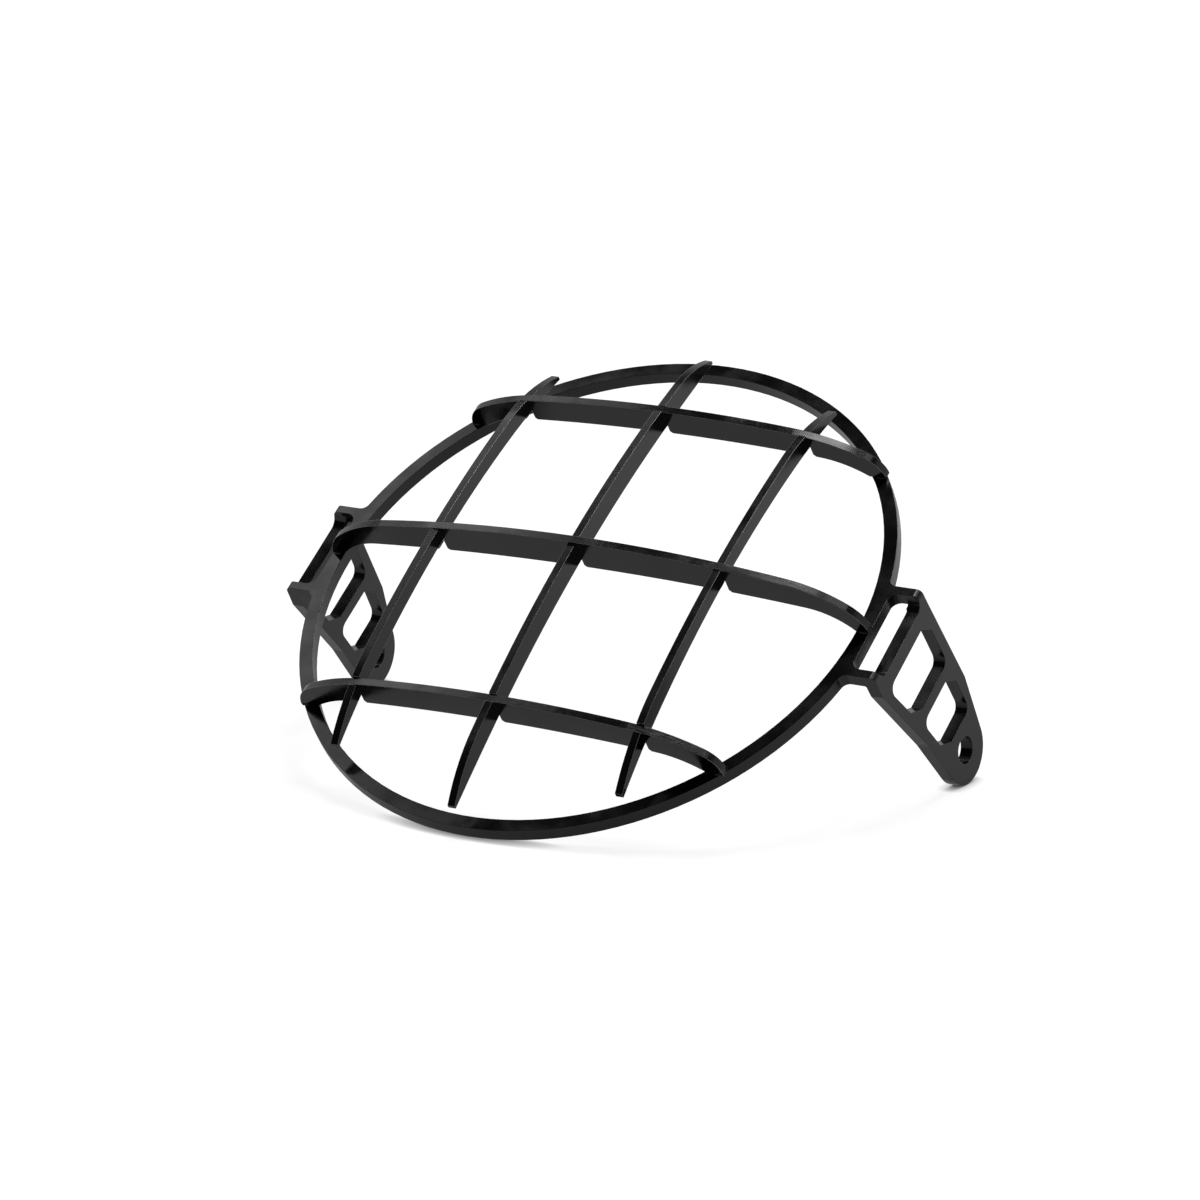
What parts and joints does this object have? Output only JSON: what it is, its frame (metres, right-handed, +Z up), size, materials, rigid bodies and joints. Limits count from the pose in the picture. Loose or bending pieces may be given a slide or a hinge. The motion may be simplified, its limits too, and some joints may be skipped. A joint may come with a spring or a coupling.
{
  "type": "motorcycle headlight guard",
  "caption": "Round black grille of curved crossed bars on a plate ring, with two folded side ears that bolt to the sides of a round headlight.",
  "frame": {"origin": "centre of the bounding box on the floor, under the guard as it rests on the low edge of its ring and on both ear tips", "axes": "+X from ear to ear, towards the ear at the right in the picture; +Z up; the grille's bulge faces -Y and up, with the ring plane leaning back 33 degrees from the floor"},
  "size_m": [0.214, 0.1604, 0.1098],
  "materials": {
    "plate_coat": "satin black powder coat",
    "bar_coat": "satin black powder coat"
  },
  "bodies": {
    "root": {"ring_with_ears": "plate_coat", "cross_bar_top": "bar_coat", "cross_bar_middle": "bar_coat", "cross_bar_bottom": "bar_coat", "upright_left": "bar_coat", "upright_middle": "bar_coat", "upright_right": "bar_coat"}
  },
  "joints": []
}
